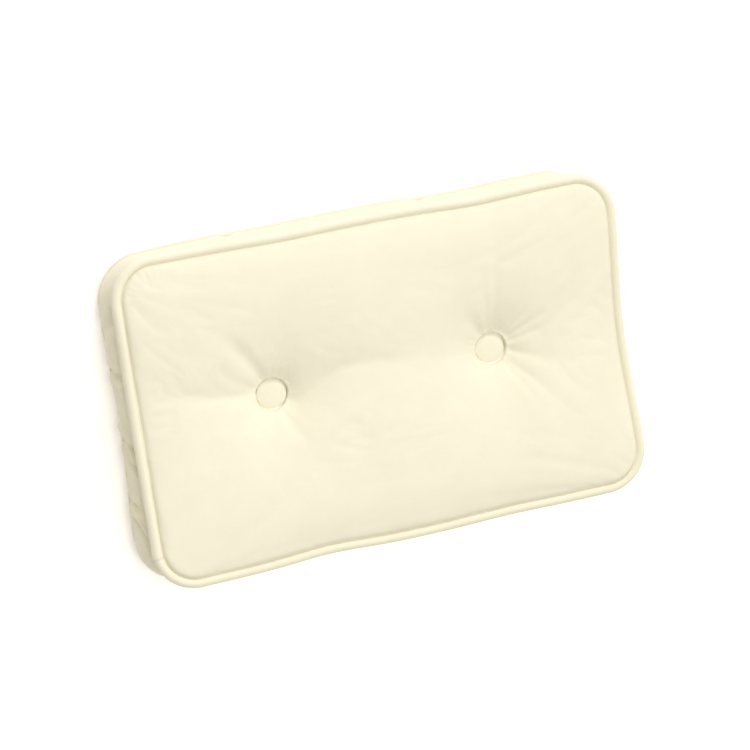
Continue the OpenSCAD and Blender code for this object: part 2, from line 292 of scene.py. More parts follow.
# The valley between the buttons: its path on the plan, in millimetres
VALLEY = ((-101, -4), (-90, -6), (-72, 2), (-48, 17), (-20, 19), (20, 15), (60, 10), (93, 6))


def curve_through(stops):
    """Points of a smooth curve through the stops."""
    stops = np.array(stops, float)
    pieces = 8
    found = [stops[0]]
    for i in range(len(stops) - 1):
        p0, p1 = stops[max(i - 1, 0)], stops[i]
        p2, p3 = stops[i + 1], stops[min(i + 2, len(stops) - 1)]
        for j in range(1, pieces + 1):
            t = j / pieces
            swing = (2 * p0 - 5 * p1 + 4 * p2 - p3) * t**2 + (3 * p1 - p0 - 3 * p2 + p3) * t**3
            found.append(p1 + 0.5 * ((p2 - p0) * t + swing))
    return np.array(found)


def follow(xy, path):
    """For each point, how far along the path its nearest place is, from 0 to 1, and how far away it is."""
    lengths = np.linalg.norm(np.diff(path, axis=0), axis=1)
    before = np.concatenate([[0], np.cumsum(lengths)])
    nearest = np.full(len(xy), np.inf)
    share = np.zeros(len(xy))
    for i, length in enumerate(lengths):
        way = (path[i + 1] - path[i]) / length
        reach = np.clip((xy - path[i]) @ way, 0, length)
        gap = np.linalg.norm(xy - path[i] - reach[:, None] * way, axis=1)
        closer = gap < nearest
        nearest = np.where(closer, gap, nearest)
        share = np.where(closer, (before[i] + reach) / before[-1], share)
    return share, nearest


def groove(xy, stops, depth, width, end_width, hold, sharp, start=0.1):
    """The drop of a groove that deepens over its first part and fades out at its end, in millimetres."""
    share, gap = follow(xy / MM, curve_through(stops))
    q = gap / (width + (end_width - width) * share)
    strength = smooth(share / start) * (1 - smooth((share - hold) / (1 - hold)))
    shape = np.exp(-q * q)
    if sharp:
        shape = np.exp(0.25 - np.sqrt(q * q + 0.0625)) * (1 - smooth(q / 3.5))
    return depth * strength * shape * MM


def from_button(xy, side=None):
    """Distance from the nearest button, or from the button of one side."""
    x = np.abs(xy[:, 0]) - BUTTON_X if side is None else xy[:, 0] - side * BUTTON_X
    return np.hypot(x, xy[:, 1] - BUTTON_Y)


def polar(side, angle, distance):
    turn = math.radians(angle)
    return (side * BUTTON_X / MM + distance * math.cos(turn), BUTTON_Y / MM + distance * math.sin(turn))


def hollow(distance, deep, broad):
    """The drop towards a button: steep beside it, gentle further out."""
    beyond = np.hypot(np.maximum(distance - BUTTON_R, 0), 3 * MM) - 3 * MM
    near = np.exp(-beyond / (8 * MM))
    far = np.exp(-beyond / (34 * MM))
    wide = np.exp(-((distance / (60 * MM)) ** 2))
    return deep * (0.3 * near + 0.7 * far) + broad * wide


def face_height(xy):
    """Height of the face panel above the upper piping's centre."""
    x, y = np.abs(xy[:, 0]) / HALF_W, np.abs(xy[:, 1]) / HALF_D
    rim = np.maximum(inset_of(xy) - PANEL_INSET, 0)
    z = PANEL_RISE + 5.6 * MM * (1 - np.exp(-rim / (1.5 * MM)))
    z += 6 * MM * (1 - np.clip(x * 1.03, 0, 1) ** 4) * (1 - np.clip(y * 1.05, 0, 1) ** 3.2)
    z -= 3 * MM * np.exp(-(((xy[:, 1] - 12 * MM) / (42 * MM)) ** 2)) * (1 - x**4)
    for side in (-1, 1):
        z -= hollow(from_button(xy, side), 14.4 * MM, 5.5 * MM)
    z -= groove(xy, VALLEY, 4.1, 10, 24, 0.15, True, start=0.05)
    for side, path, *sizes in FOLDS:
        z -= groove(xy, [polar(side, *stop) for stop in path], *sizes)
    return z


def back_height(xy):
    """Height of the back panel below the lower piping's centre."""
    rim = np.maximum(inset_of(xy) - PANEL_INSET, 0)
    return PANEL_RISE + 10 * MM * (1 - np.exp(-rim / (11 * MM)))


# ---- Cloth ----
def settle(points, faces, cut, held, pressure, frames):
    """Lets a cloth cut to one shape swell out from its held points, and returns where its points rest."""
    mesh = plain_mesh("settling", points, faces)
    piece = add_object("settling", mesh)
    piece.shape_key_add(name="Basis")
    rest = piece.shape_key_add(name="Cut")
    rest.data.foreach_set("co", np.asarray(cut, np.float32).ravel())
    rest.value = 0.0
    group = piece.vertex_groups.new(name="held")
    group.add([int(i) for i in np.flatnonzero(held)], 1.0, "REPLACE")
    modifier = piece.modifiers.new("Cloth", "CLOTH")
    cloth = modifier.settings
    cloth.quality = 6
    cloth.mass = 0.15
    cloth.air_damping = 2.0
    cloth.tension_stiffness = cloth.compression_stiffness = 40.0
    cloth.shear_stiffness = 20.0
    cloth.bending_stiffness = 0.05
    cloth.tension_damping = cloth.compression_damping = cloth.shear_damping = 8.0
    cloth.bending_damping = 0.6
    cloth.use_pressure = True
    cloth.uniform_pressure_force = pressure
    cloth.vertex_group_mass = "held"
    cloth.rest_shape_key = rest
    cloth.effector_weights.gravity = 0.0
    modifier.collision_settings.use_collision = False
    modifier.collision_settings.use_self_collision = False
    modifier.point_cache.frame_start = 1
    modifier.point_cache.frame_end = frames
    scene = bpy.context.scene
    for number in range(1, frames + 1):
        scene.frame_set(number)
    shape = piece.evaluated_get(bpy.context.evaluated_depsgraph_get())
    settled = np.zeros(len(points) * 3)
    shape.data.vertices.foreach_get("co", settled)
    bpy.data.objects.remove(piece)
    bpy.data.meshes.remove(mesh)
    scene.frame_set(1)
    return settled.reshape(-1, 3)


def capped(start, settled, most):
    """The settled points, none of them further from its start than the most."""
    move = settled - start
    length = np.maximum(np.linalg.norm(move, axis=1), 1e-9)
    return start + move * np.minimum(1, most * np.tanh(length / most) / length)[:, None]


# ---- Panels ----
RIM_RINGS = (0, 0.6 * MM, 1.5 * MM, 3 * MM, 5.2 * MM, 8 * MM)
# How far the cloth is pressed in under a button, and the lowest that the underside lies
TUFT_SINK = 0.15 * MM
REST_Z = 0.25 * MM
BUTTON_RINGS = tuple(r * MM for r in (3.6, 7.5, 11.5, 14, 14.5, 14.9, 15.3, 16.2, 18, 20.5, 23.4, 26.6))


def flat_cut(outline, insets, radii, step, apart, stagger, margin):
    """Points and triangles of a flat layer: rings at its rim and round the buttons, a lattice between."""
    points = [p for inset in insets for p in outline.plan(inset)]
    for side in (-1, 1):
        for number, r in enumerate(radii):
            count = max(10, round(2 * math.pi * r / apart))
            for i in range(count):
                angle = 2 * math.pi * (i + stagger * (number % 2)) / count
                points.append((side * BUTTON_X + r * math.cos(angle), BUTTON_Y + r * math.sin(angle)))
    row = 0.866 * step
    rows, columns = int(HALF_D / row) + 1, int(HALF_W / step) + 1
    lattice = np.array([((i + 0.5 * (j % 2)) * step, j * row)
                        for j in range(-rows, rows + 1) for i in range(-columns, columns + 1)])
    clear = (from_button(lattice) > radii[-1] + 0.7 * step) & (inset_of(lattice) > insets[-1] + margin)
    points.extend(lattice[clear])
    count = len(outline.base)
    edges = [(i, (i + 1) % count) for i in range(count)]
    found = delaunay_2d_cdt([Vector(p) for p in points], edges, [], 1, 1e-7)
    flat = np.array([tuple(p) for p in found[0]])
    from_needle = [from_button(flat[list(t)].mean(0)[None, :])[0] for t in found[2]]
    return flat, [tuple(t) for t, gap in zip(found[2], from_needle) if gap > 0.8 * NEEDLE_R]


def gathers(flat, depth):
    """Small pleats where the cloth bunches up round a button."""
    x = flat[:, 0] - np.sign(flat[:, 0]) * BUTTON_X
    angle = np.arctan2(flat[:, 1] - BUTTON_Y, x)
    distance = from_button(flat)
    uneven = wobble(np.column_stack([np.cos(angle), np.sin(angle), np.sign(flat[:, 0])]), 0.45, 5)
    fade = np.exp(-np.maximum(distance - 15 * MM, 0) / (6 * MM)) * smooth((distance - 13 * MM) / (2.5 * MM))
    return depth * np.cos(17 * angle + 6 * uneven) * fade


CORNER_PUCKER = 10 * MM


def rim_puckers(flat):
    """Scallops along the seam, strongest at the two rear corners."""
    rim = np.maximum(inset_of(flat) - PANEL_INSET, 0)
    centre = np.array([HALF_W - CORNER_R, HALF_D - CORNER_R]) * np.sign(flat)
    angle = np.arctan2(flat[:, 1] - centre[:, 1], flat[:, 0] - centre[:, 0])
    rear = np.exp(-((np.hypot(np.abs(flat[:, 0]) - 205 * MM, flat[:, 1] - 140 * MM) / (26 * MM)) ** 2))
    uneven = 2 * wobble(np.column_stack([flat, 0 * rim]), 14 * MM, 9)
    scallop = 0.35 * MM * rear * np.cos(2 * np.pi * angle * CORNER_R / CORNER_PUCKER + uneven)
    fine = 0.35 * MM * wobble(np.column_stack([flat, 0 * rim]), 8 * MM, 2)
    return (scallop + fine) * smooth(rim / (1.5 * MM)) * np.exp(-rim / (7 * MM))


def panel_shape(flat, face):
    """Where the flat points of a panel lie on the finished pad, before the cloth settles."""
    dx, dy, dz = drawn_in(flat, 0.0 if face else 1.0)
    tuft_z = FACE_TUFT_Z - TUFT_SINK if face else BACK_TUFT_Z + TUFT_SINK
    under_button = 1 - smooth((from_button(flat) - BUTTON_R - 0.1 * MM) / (0.7 * MM))
    if face:
        z = FACE_Z + dz + face_height(flat) + gathers(flat, 0.4 * MM) + rim_puckers(flat)
    else:
        lift = 1 - smooth((from_button(flat) - 15 * MM) / (26 * MM))
        z = (BACK_Z - back_height(flat)) * (1 - lift) + tuft_z * lift
        z += gathers(flat, 0.35 * MM) * (1 - under_button)
    z = z * (1 - under_button) + tuft_z * under_button
    return np.column_stack([flat[:, 0] + dx, flat[:, 1] + dy, z])


def settle_panel(flat, points, triangles):
    """Lets the panel's cloth, cut a little large, settle between its rim and its buttons."""
    held = (inset_of(flat) < PANEL_INSET + 0.1 * MM) | (from_button(flat) < BUTTON_R + 1.7 * MM)
    cut = points.copy()
    cut[:, :2] *= 1.012
    start = points.copy()
    start[:, 2] += np.where(held, 0, 0.25 * MM * wobble(points, 12 * MM, 3))
    return capped(points, settle(start, triangles, cut, held, pressure=0.6, frames=26), 2.2 * MM)


def make_panel(name, face, step):
    insets = [PANEL_INSET + ring for ring in RIM_RINGS]
    flat, triangles = flat_cut(Outline(step), insets, BUTTON_RINGS, step, 0.75 * step, 0.5, 0.75 * step)
    points = panel_shape(flat, face)
    if not face:
        triangles = [t[::-1] for t in triangles]
    points = settle_panel(flat, points, triangles)
    if not face:
        points[:, 2] = REST_Z + np.logaddexp(0, (points[:, 2] - REST_Z) / (0.8 * MM)) * 0.8 * MM
    piece = add_mesh(name, points, triangles, uv=flat)
    flat_size = (2 * (HALF_W - WELT_R + SEAM), 2 * (HALF_D - WELT_R + SEAM))
    finish_cloth(piece, "face_panel" if face else "back_panel", CLOTH, flat_size)
    return piece, points, triangles


# ---- Boxing: one ring of cloth, then cut into the strip and the two zip facings ----
TAB_HALF = TAPE_HALF - 0.5 * MM
WALL_INSET = 5.6 * MM
BULGE = 5.4 * MM
ZIP_BULGE = 2.4 * MM
CORNER_BULGE = 2 * MM
LEFT_BULGE = 3.2 * MM
TUCK = 2.4 * MM
# The cloth beside the zip stays flat this far from the middle, and is sewn down this far from the zip
ZIP_REACH = 226 * MM
STITCHED_HALF = 9.9 * MM
# A facing's hem: inset, and height beyond the facing's edge, in millimetres
HEM = ((6.3, -0.35), (7.2, -0.1), (7.75, 0.8), (7.8, 6.4))
# Upper half of the ring's section: inset, and drop below the piping's centre, in millimetres
SECTION_TOP = ((19.6, 0.95), (14, 0.95), (9, 0.95), (7.9, 1.8), (6.7, 3.6), (5.9, 5.4))
WALL_TOP = HALF_H - SECTION_TOP[-1][1] * MM
WALL_ROWS = 8
# Folds of the boxing: side, place along it, lean, depth and width, in millimetres
BOXING_FOLDS = (
    ("left", 45, -0.2, 5.5, 3.2),
    ("left", -20, -0.25, 7.5, 3.6),
    ("left", -31, -0.5, 5.0, 3),
    ("left", -78, -0.3, 4.0, 3.2),
    ("left", -97, -0.67, 4.5, 3.4),
    ("left", 92, 0.4, 1.6, 6),
    ("right", 36, -0.4, 3.4, 3.8),
    ("right", -14, 0.3, 4.6, 4),
    ("right", -70, -0.6, 2.6, 4),
    ("rear", 148, 0.6, 1.8, 5),
    ("rear", 62, -0.4, 2.4, 5),
    ("rear", -36, 0.5, 2.0, 5),
    ("rear", -128, -0.6, 2.6, 5),
)
SIDE_NORMAL = {"left": (-1, 0), "right": (1, 0), "rear": (0, 1)}


def section_rows():
    """Rows of the boxing from its upper allowance to its lower, as inset and height above the middle."""
    top = [(inset * MM, HALF_H - drop * MM) for inset, drop in SECTION_TOP]
    start = WALL_TOP - 2.4 * MM
    for i in range(WALL_ROWS):
        top.append((WALL_INSET, start + (ZIP_GAP - start) * i / (WALL_ROWS - 1)))
    top.append((WALL_INSET, ZIP_GAP / 2))
    return top + [(WALL_INSET, 0.0)] + [(inset, -h) for inset, h in reversed(top)]


def boxing_fold_drop(outline, height):
    """How far the boxing's folds push its wall inwards at one height."""
    drop = np.zeros(len(outline.base))
    fade = np.clip(1 - (abs(height) / HALF_H) ** 3, 0, 1)
    for side, place, lean, depth, width in BOXING_FOLDS:
        along = outline.base[:, 0] if side == "rear" else outline.base[:, 1]
        on_side = np.hypot(*(outline.normal - SIDE_NORMAL[side]).T) < 0.1
        spots = np.column_stack([along, np.full(len(along), place * MM), np.full(len(along), height)])
        q = (along - place * MM - lean * height + 4 * MM * wobble(spots, 24 * MM, 11)) / (width * MM)
        crease = np.exp(0.3 - np.sqrt(q * q + 0.09)) * (1 - smooth(np.abs(q) / 3.5))
        crease -= 0.45 * np.exp(-((np.abs(q) - 2.2) ** 2))
        drop += np.where(on_side, depth * MM * fade * crease, 0)
    return drop


def belly(height):
    """The boxing's bulge at a height from the middle, as a share of its most: fuller below the middle."""
    up = (height / HALF_H + 1) / 2
    return (up / 0.3) ** 0.7 * ((1 - up) / 0.7) ** 1.63


def boxing_bulge(outline):
    """How far the boxing bulges out at its fullest height, station by station."""
    x = np.abs(outline.base[:, 0])
    near_zip = smooth((ZIP_HALF + 22 * MM - x) / (20 * MM)) * outline.zip_side
    from_corner = np.hypot(x - HALF_W, outline.base[:, 1] + HALF_D)
    bulge = BULGE + (ZIP_BULGE - BULGE) * near_zip
    bulge += CORNER_BULGE * np.exp(-((from_corner / (45 * MM)) ** 2)) * (1 - near_zip)
    return bulge + LEFT_BULGE * np.clip(-outline.normal[:, 0], 0, 1)


def boxing_shape(outline, rows):
    """Points of the ring of cloth, row by row, and which of them are sewn down."""
    x = np.abs(outline.base[:, 0])
    zip_zone = smooth((ZIP_REACH - x) / (14 * MM)) * (outline.base[:, 1] < 0)
    end_seam = 0.7 * MM * np.exp(-(((x - ZIP_HALF) / (1.8 * MM)) ** 2)) * outline.zip_side
    bulge = boxing_bulge(outline)
    points, held = [], []
    for inset, height in rows:
        calm = 1 - zip_zone * (1 - smooth((abs(height) - 9 * MM) / (12 * MM)))
        drawn = 1 - zip_zone * (1 - smooth((abs(height) - 8 * MM) / (18 * MM)))
        wall = abs(height) < WALL_TOP
        inward = np.full(len(x), inset)
        if wall:
            tuck = TUCK * np.exp(-(((height / HALF_H - 0.7) / 0.22) ** 2))
            inward += (tuck + boxing_fold_drop(outline, height) - bulge * belly(height)) * calm + end_seam
        xy = outline.base - outline.normal * inward[:, None]
        dx, dy, dz = drawn_in(outline.base, np.clip((HALF_H - height) / (2 * HALF_H), 0, 1))
        points.append(np.column_stack([xy[:, 0] + dx * drawn, xy[:, 1] + dy * drawn, MID_Z + height + dz]))
        stitched = (zip_zone > 0.9) & (abs(height) < STITCHED_HALF)
        held.append(np.full(len(x), not wall) | stitched)
    return np.concatenate(points), np.concatenate(held)


def settle_boxing(outline, shape, faces, held, rows):
    """Lets the boxing's cloth, cut a little large, settle between its seams."""
    cut = shape.copy()
    cut[:, :2] *= 1.018
    cut[:, 2] = MID_Z + (cut[:, 2] - MID_Z) * 1.035
    start = shape.copy()
    push = np.where(held, 0, 0.5 * MM * wobble(shape, 11 * MM, 7))
    start[:, :2] += np.tile(outline.normal, (len(rows), 1)) * push[:, None]
    return capped(shape, settle(start, faces, cut, held, pressure=0.8, frames=24), 3.5 * MM)


def only_used(points, faces, uv):
    used = sorted({i for face in faces for i in face})
    place = {old: new for new, old in enumerate(used)}
    return points[used], [tuple(place[i] for i in face) for face in faces], uv[used]


def make_boxing(step):
    """The ring's cuts by the CAD node that each replaces, and the whole ring's points and faces."""
    outline = Outline(step, stops=(-ZIP_HALF, -TAB_HALF, TAB_HALF, ZIP_HALF))
    rows = section_rows()
    count = len(outline.base)
    shape, held = boxing_shape(outline, rows)
    faces = strip_faces(len(rows), count)
    shape = settle_boxing(outline, shape, faces, held, rows)
    heights = np.repeat([h for _, h in rows], count)
    depth_in = np.cumsum([0] + [math.dist(a, b) for a, b in zip(rows, rows[1:])])
    uv = np.column_stack([np.tile(outline.along, len(rows)), np.repeat(depth_in, count)])
    x = np.tile(outline.base[:, 0], len(rows))
    on_zip = np.tile(outline.zip_side, len(rows))
    cuts = {"boxing_strip": [], "zip_facing_upper": [], "zip_facing_lower": []}
    for face in faces:
        corners = list(face)
        fx = abs(x[corners].min() + x[corners].max()) / 2
        fh = heights[corners].mean()
        if not on_zip[face[0]] or fx > ZIP_HALF:
            cuts["boxing_strip"].append(face)
        elif abs(fh) > ZIP_GAP:
            cuts["zip_facing_upper" if fh > 0 else "zip_facing_lower"].append(face)
        elif fx > TAB_HALF:
            cuts["boxing_strip"].append(face)
    return {node: only_used(shape, chosen, uv) for node, chosen in cuts.items()}, shape, faces


def add_hem(points, faces, uv, way):
    """Folds a facing's free edge back behind itself, towards the zip tape."""
    edge = np.flatnonzero(np.abs(points[:, 2] - MID_Z - way * ZIP_GAP) < 0.3 * MM)
    edge = edge[np.argsort(points[edge, 0])]
    rows = [edge]
    all_points, all_uv = [points], [uv]
    for number, (inset, height) in enumerate(HEM):
        row = points[edge].copy()
        row[:, 1] = -HALF_D + inset * MM
        row[:, 2] = MID_Z + way * (ZIP_GAP + height * MM)
        all_points.append(row)
        all_uv.append(uv[edge] + np.array([0, inset * MM]))
        rows.append(len(points) + number * len(edge) + np.arange(len(edge)))
    folded = []
    for a, b in zip(rows, rows[1:]):
        for i in range(len(edge) - 1):
            quad = (int(a[i]), int(a[i + 1]), int(b[i + 1]), int(b[i]))
            folded.append(quad[::-1] if way > 0 else quad)
    return np.concatenate(all_points), faces + folded, np.concatenate(all_uv)


def finish_boxing(cuts):
    round_pad = 4 * (HALF_W + HALF_D) - 8 * CORNER_R + 2 * math.pi * (CORNER_R - WALL_INSET)
    strip_flat = (round_pad - 2 * ZIP_HALF + 2 * SEAM, 2 * (HALF_H + SEAM))
    facing_flat = (2 * (ZIP_HALF + SEAM), HALF_H - ZIP_GAP + 2 * SEAM)
    made = []
    for node, (points, faces, uv) in cuts.items():
        strip = node == "boxing_strip"
        if not strip:
            points, faces, uv = add_hem(points, faces, uv, 1 if "upper" in node else -1)
        piece = add_mesh("boxing_cloth" if strip else node + "_cloth", points, faces, uv=uv)
        finish_cloth(piece, node, CLOTH, strip_flat if strip else facing_flat)
        made.append(piece)
    return made


# ---- Piping ----
WELT_CLOTH = 0.7 * MM
WELT_SIDES = 22
JOIN_PLACE = Vector((-0.2415, -0.1185))
JOIN_LAP = 30 * MM


def welt_section():
    """The piping strip's section: along one allowance, round the cord and back, from its centre."""
    allowance = SEAM + WELT_R
    path = [(-allowance, 0.8 * MM), (-allowance / 2 - 2 * MM, 0.8 * MM), (-(WELT_R + 1.2 * MM), 0.85 * MM)]
    opening = math.asin(0.9 * MM / WELT_R)
    for i in range(WELT_SIDES + 1):
        angle = math.pi - opening - (2 * math.pi - 2 * opening) * i / WELT_SIDES
        path.append((WELT_R * math.cos(angle), WELT_R * math.sin(angle)))
    return path + [(x, -z) for x, z in reversed(path[:3])]


def make_welt(name, z, down, has_join):
    outline = Outline(1.3 * MM if has_join else 2.4 * MM)
    section = welt_section()
    centre = outline.ring(WELT_R, z, down)
    count = len(section)
    reach = np.cumsum([0] + [math.dist(a, b) for a, b in zip(section, section[1:])])
    fold = np.zeros(len(centre))
    if has_join:
        gap = np.hypot(outline.base[:, 0] - JOIN_PLACE.x, outline.base[:, 1] - JOIN_PLACE.y)
        ahead = outline.along - outline.along[np.argmin(gap)]
        fold = np.where(ahead < 0, 0.35 * MM * smooth(1 + ahead / JOIN_LAP), 0)
        fold -= 0.7 * MM * np.exp(-(((ahead - 1 * MM) / (0.9 * MM)) ** 2))
    ripple = wobble(np.column_stack([outline.along / 3, 0 * fold, 0 * fold]), 4 * MM, 11 + down)
    grow = 1 + (fold + 0.07 * MM * ripple) / WELT_R
    points, uv = [], []
    for i, (core, normal) in enumerate(zip(centre, outline.normal)):
        for (x, h), place in zip(section, reach):
            size = grow[i] if x > -WELT_R * 0.98 else 1
            points.append(core + np.array((*(normal * x), h)) * size)
            uv.append((outline.along[i], place))
    faces = strip_faces(len(centre), count, closed_rows=True, closed_ring=False)
    piece = add_mesh(name + "_cloth", points, faces, uv=uv)
    flat_size = (outline.length + 2 * SEAM, 2 * math.pi * WELT_R + 2 * SEAM)
    finish_cloth(piece, name + "_cover", WELT_CLOTH, flat_size, refined=False)
    return piece


def twisted(name, path, radius, strands, pitch):
    """A rope of round strands wound round a closed path."""
    path = np.array(path)
    ahead = np.roll(path, -1, 0) - np.roll(path, 1, 0)
    ahead /= np.linalg.norm(ahead, axis=1)[:, None]
    hops = np.linalg.norm(np.roll(path, -1, 0) - path, axis=1)
    travelled = np.concatenate([[0], np.cumsum(hops)[:-1]])
    turns = max(1, round(hops.sum() / pitch))
    reference = np.array([0.0, 0.0, 1.0]) if abs(ahead[:, 2]).max() < 0.9 else np.array([1.0, 0.0, 0.0])
    side = np.cross(ahead, reference)
    side /= np.linalg.norm(side, axis=1)[:, None]
    up = np.cross(side, ahead)
    strand_r = radius * 0.52
    parts = []
    for k in range(strands):
        angle = 2 * np.pi * (travelled / hops.sum() * turns + k / strands)
        away = np.cos(angle)[:, None] * side + np.sin(angle)[:, None] * up
        parts.append(tube(path + (radius - strand_r) * away, side, up, strand_r, 8, closed=True))
    return add_mesh(name, *joined(parts))


def make_welts():
    made = []
    for name, z, down in (("face_welt", FACE_Z, 0), ("back_welt", BACK_Z, 1)):
        made.append(make_welt(name, z, down, has_join=down == 0))
        cord = twisted(name + "_rope", Outline(3 * MM).ring(WELT_R, z, down), CORD_R * 0.97, 3, 20 * MM)
        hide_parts(name + "_cord")
        made.append(cord)
    return made


# ---- Filling ----
FACE_GAP = 1.6 * MM
LAYER_GAP = 0.7 * MM
FILLING_INSET = 21 * MM
FILLING_STEP = 6 * MM
FILLING_RINGS = (NEEDLE_R, 9 * MM, 15 * MM, 21 * MM)


def closed_layer(name, flat, triangles, upper, lower):
    """A closed solid between two heights over the same flat triangles, holes and rim walled."""
    count = len(flat)
    points = np.concatenate([np.column_stack([flat, upper]), np.column_stack([flat, lower])])
    faces = list(triangles) + [tuple(i + count for i in reversed(t)) for t in triangles]
    edges = {(a, b) for t in triangles for a, b in zip(t, t[1:] + t[:1])}
    for a, b in sorted(edges):
        if (b, a) not in edges:
            faces.append((b, a, a + count, b + count))
    return add_mesh(name, points, faces)


def height_under(tree, xy, from_above, missing):
    """Height of a surface over or under plan points."""
    start, way = (0.3, -1) if from_above else (-0.3, 1)
    found = []
    for x, y in xy:
        hit = tree.ray_cast(Vector((x, y, start)), Vector((0, 0, way)))[0]
        found.append(hit.z if hit else missing)
    return np.array(found)


def make_filling(face_tree, back_tree):
    step = FILLING_STEP
    insets = (FILLING_INSET, FILLING_INSET + 0.7 * step)
    flat, triangles = flat_cut(Outline(step), insets, FILLING_RINGS, step, step, 0, 0.7 * step)
    dx, dy, _ = drawn_in(flat, 0.5)
    moved = flat + np.column_stack([dx, dy])
    tuft = 1 - smooth((from_button(flat) - 26 * MM) / (38 * MM))
    face_low = (FACE_Z - 6 * MM) * (1 - tuft) + (FACE_TUFT_Z - 5 * MM) * tuft
    back_high = (BACK_Z + 6 * MM) * (1 - tuft) + (BACK_TUFT_Z + 5 * MM) * tuft
    top = height_under(face_tree, moved, True, FACE_TUFT_Z) - CLOTH - FACE_GAP
    bottom = height_under(back_tree, moved, False, BACK_TUFT_Z) + CLOTH + FACE_GAP
    core_top = np.minimum(face_low, top - 2 * MM)
    core_bottom = np.maximum(back_high, bottom + 2 * MM)
    half_gap = LAYER_GAP / 2
    layers = (
        ("face_wadding_fibre", "face_wadding", "wadding", 0.5, top, core_top + half_gap),
        ("back_wadding_fibre", "back_wadding", "wadding", 0.5, core_bottom - half_gap, bottom),
        ("foam_block", "foam_core", "foam", 1.0, core_top - half_gap, core_bottom + half_gap),
    )
    made = []
    for name, node, slot, fill, upper, lower in layers:
        piece = closed_layer(name, moved, triangles, upper, lower)
        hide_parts(node)
        made.append(piece)
    return made


# ---- Buttons ----
BUTTON_CLOTH = 0.45 * MM
SKIRT_H = 3.6 * MM
BUTTON_CUT = 40 * MM
BUTTON_TURNS = 72
SIDE_NAME = {-1: "left", 1: "right"}


def button_profile():
    """The button's section from its top outwards, down its side and in underneath, as radius and height."""
    profile = []
    for i in range(1, 10):
        r = 0.985 * math.sin(math.pi / 2 * i / 9)
        profile.append((BUTTON_R * r, SKIRT_H + (BUTTON_H - SKIRT_H) * (1 - r**3) ** 0.6))
    profile += [(BUTTON_R, SKIRT_H - 0.1 * MM), (BUTTON_R * 0.998, 1.6 * MM), (BUTTON_R * 0.985, 0.25 * MM)]
    return profile + [(BUTTON_R * 0.95, 0), (BUTTON_R * 0.9, 0), (BUTTON_R - 2.3 * MM, 0.02 * MM)]


def make_button(name, side, face):
    """A cloth-covered button: a low dome, small gathers round its side, the cloth turned in underneath."""
    way = 1 if face else -1
    low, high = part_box(name + "_cover")
    base_z = low.z if face else high.z
    profile = button_profile()
    points, uv = [(0, 0, BUTTON_H)], [(0, 0)]
    for number, (r, h) in enumerate(profile):
        on_side = math.exp(-(((h - 1.2 * MM) / (1.3 * MM)) ** 2)) if number > 6 else 0
        on_cut = r if number < 10 else 2 * BUTTON_R - r
        for i in range(BUTTON_TURNS):
            angle = 2 * math.pi * i / BUTTON_TURNS
            pleat = 0.16 * MM * on_side * (math.cos(18 * angle + 2 * math.sin(3 * angle + side)) - 1)
            points.append(((r + pleat) * math.cos(angle), (r + pleat) * math.sin(angle), h))
            uv.append((on_cut * math.cos(angle), on_cut * math.sin(angle)))
    faces = [(0, 1 + i, 1 + (i + 1) % BUTTON_TURNS) for i in range(BUTTON_TURNS)]
    faces += [tuple(1 + k for k in face) for face in strip_faces(len(profile), BUTTON_TURNS)]
    placed = [(side * BUTTON_X + x, BUTTON_Y + way * y, base_z + way * z) for x, y, z in points]
    piece = add_mesh(name + "_cloth", placed, faces, uv=uv)
    cut_area = math.pi * BUTTON_CUT**2 / 4
    finish_cloth(piece, name + "_cover", BUTTON_CLOTH, (BUTTON_CUT, BUTTON_CUT), area=cut_area)
    return piece


def make_buttons():
    made = []
    for face in (True, False):
        for side in (-1, 1):
            name = ("face_" if face else "back_") + SIDE_NAME[side] + "_button"
            made.append(make_button(name, side, face))
    return made


def make_twine(side):
    """The waxed twine's loop between a face button and the back button below it."""
    node = SIDE_NAME[side] + "_tufting_twine"
    low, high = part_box(node)
    radius, bend = 0.8 * MM, 1.5 * MM
    bottom, top = low.z + bend + radius, high.z - bend - radius
    path = []
    for start, end, turn in ((bottom, top, 0), (top, bottom, math.pi)):
        y = bend * math.cos(turn)
        for i in range(24):
            path.append((0, y, start + (end - start) * i / 24))
        for i in range(8):
            angle = turn + math.pi * i / 8
            path.append((0, bend * math.cos(angle), end + bend * math.sin(angle)))
    path = [(side * BUTTON_X + x, BUTTON_Y + y, z) for x, y, z in path]
    piece = twisted(node + "_strands", path, radius, 3, 5 * MM)
    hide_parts(node)
    return piece


# ---- Zip ----
COIL_PITCH = 1.5 * MM
COIL_WIRE = 0.36 * MM
COIL_STEPS = 10
RIB_PITCH = 1.75 * MM


def make_tape(node):
    low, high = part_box(node)
    rows = np.linspace(low.z, high.z, 17)
    columns = np.linspace(low.x, high.x, 98)
    points, uv = [], []
    for x in columns:
        for z in rows:
            rib = 0.05 * MM * math.cos(2 * math.pi * (z - low.z) / RIB_PITCH)
            points.append((x, -HALF_D + TAPE_INSET + 0.06 * MM - rib, z))
            uv.append((x, z))
    faces = strip_faces(len(columns), len(rows), closed_ring=False)
    piece = add_mesh(node + "_twill", points, faces, uv=uv)
    flat_size = (2 * TAPE_HALF, high.z - low.z)
    finish_cloth(piece, node, TAPE_T - 0.1 * MM, flat_size, slot="zip_tape", refined=False)
    return piece


